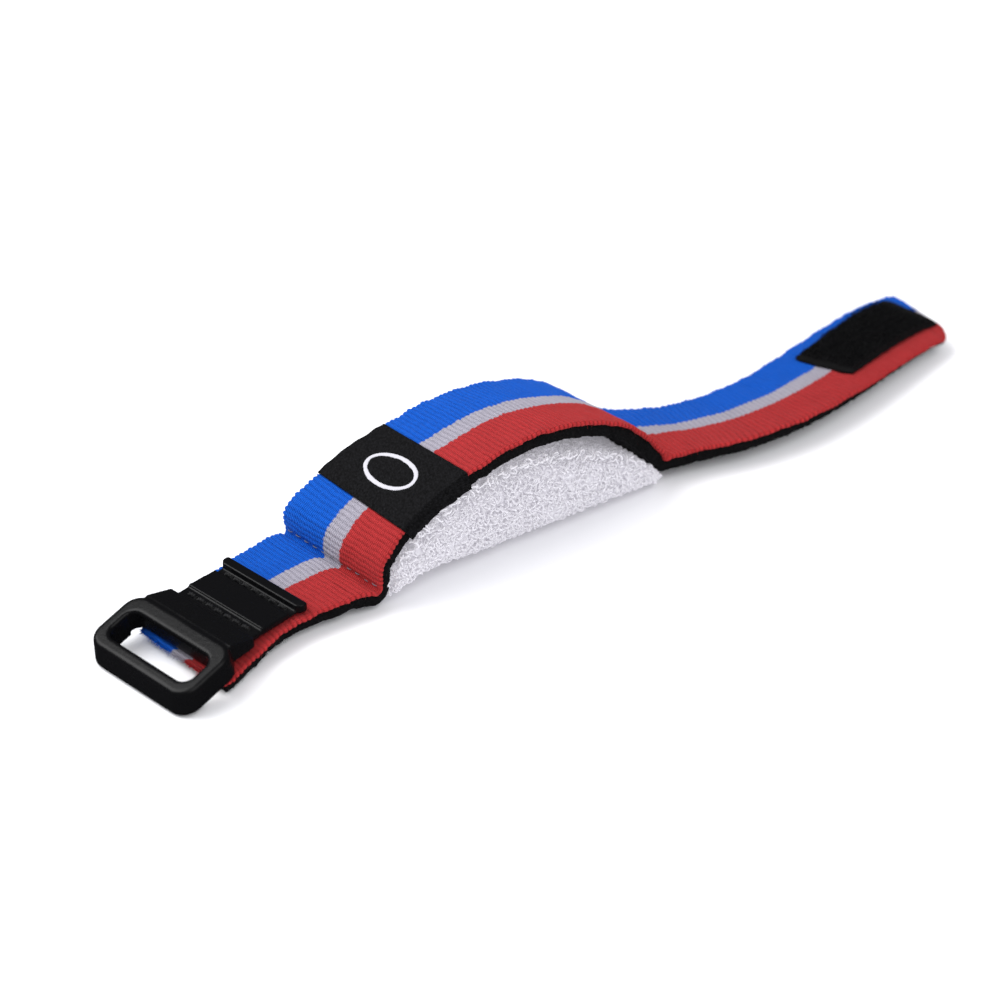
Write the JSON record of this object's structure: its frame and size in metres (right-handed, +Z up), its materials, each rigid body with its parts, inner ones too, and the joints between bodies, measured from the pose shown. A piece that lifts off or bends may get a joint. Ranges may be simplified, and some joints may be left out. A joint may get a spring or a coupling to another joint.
{
  "type": "sweat wristband",
  "caption": "Padded sweat strap for the wrist: a striped elastic strap arched over a terry pad, with a sewn-on buckle at one end and a hook-patch tail at the other.",
  "frame": {"origin": "centre of the terry pad's flat underside, midway between the arch's two creases", "axes": "+X along the strap towards the tail's tip (the buckle is at -X), +Y towards the strap's blue edge, +Z up out of the arch's crown"},
  "size_m": [0.1854, 0.0327, 0.023],
  "materials": {
    "striped_elastic": "rib-knit elastic with three woven stripes: blue, pale grey-white and red, matt",
    "black_backing": "brushed loop cloth on thin foam, matt",
    "label_weave": "damask-woven label, slight sheen",
    "label_yarn": "white woven yarn",
    "terry": "looped terry cloth, soft and matt",
    "filling": "soft foam wadding",
    "thread_light": "twisted sewing thread",
    "thread_black": "twisted sewing thread",
    "buckle_moulding": "satin moulded thermoplastic rubber with a fine speckled grain",
    "hook_tape": "woven nylon tape",
    "hook_plastic": "small moulded nylon hooks"
  },
  "bodies": {
    "pad": {"strap_arch": "striped_elastic", "backing_arch": "black_backing", "label_sleeve": "label_weave", "label_mark": "label_yarn", "terry_lining": "terry", "terry_cover": "terry", "pad_filling": "filling", "pad_seam_front": "thread_light", "pad_seam_tail": "thread_light"},
    "front": {"strap_front": "striped_elastic", "backing_front": "black_backing"},
    "buckle": {"strap_buckle": "striped_elastic", "backing_buckle": "black_backing", "buckle": "buckle_moulding", "buckle_stitches_front": "thread_black", "buckle_stitches_rear": "thread_black"},
    "tail_root": {"strap_tail_root": "striped_elastic", "backing_tail_root": "black_backing"},
    "tail_middle": {"strap_tail_middle": "striped_elastic", "backing_tail_middle": "black_backing"},
    "tail_end": {"strap_tail_end": "striped_elastic", "backing_tail_end": "black_backing"},
    "tail_tip": {"strap_tail_tip": "striped_elastic", "backing_tail_tip": "black_backing", "hook_tape": "hook_tape", "hook_field": "hook_plastic", "patch_stitches": "thread_black"}
  },
  "joints": [
    {"name": "front_fold", "type": "hinge", "parent": "pad", "child": "front", "pos_m": [-0.033, -0.00006, 0.00243], "axis": [0.1219, -0.9925, 0], "range_deg": [-12, 75]},
    {"name": "buckle_fold", "type": "hinge", "parent": "front", "child": "buckle", "pos_m": [-0.04105, 0.00011, 0.00295], "axis": [0.1349, -0.9909, 0], "range_deg": [-20, 35]},
    {"name": "tail_fold", "type": "hinge", "parent": "pad", "child": "tail_root", "pos_m": [0.03218, -0.00096, 0.00263], "axis": [0.141, 0.9856, -0.0935], "range_deg": [-15, 60]},
    {"name": "tail_curl", "type": "hinge", "parent": "tail_root", "child": "tail_middle", "pos_m": [0.04471, -0.00724, 0.00307], "axis": [0.2218, 0.9663, -0.1309], "range_deg": [-20, 38]},
    {"name": "tail_curl_middle", "type": "hinge", "parent": "tail_middle", "child": "tail_end", "pos_m": [0.05854, -0.00994, 0.00353], "axis": [-0.0058, 0.9943, -0.1062], "range_deg": [-20, 38]},
    {"name": "tail_curl_tip", "type": "hinge", "parent": "tail_end", "child": "tail_tip", "pos_m": [0.07289, -0.00918, 0.00387], "axis": [-0.2135, 0.9751, -0.0602], "range_deg": [-20, 38]}
  ],
  "couplings": [
    {"joint": "tail_curl_middle", "follows": "tail_curl", "ratio": 1},
    {"joint": "tail_curl_tip", "follows": "tail_curl", "ratio": 1}
  ]
}
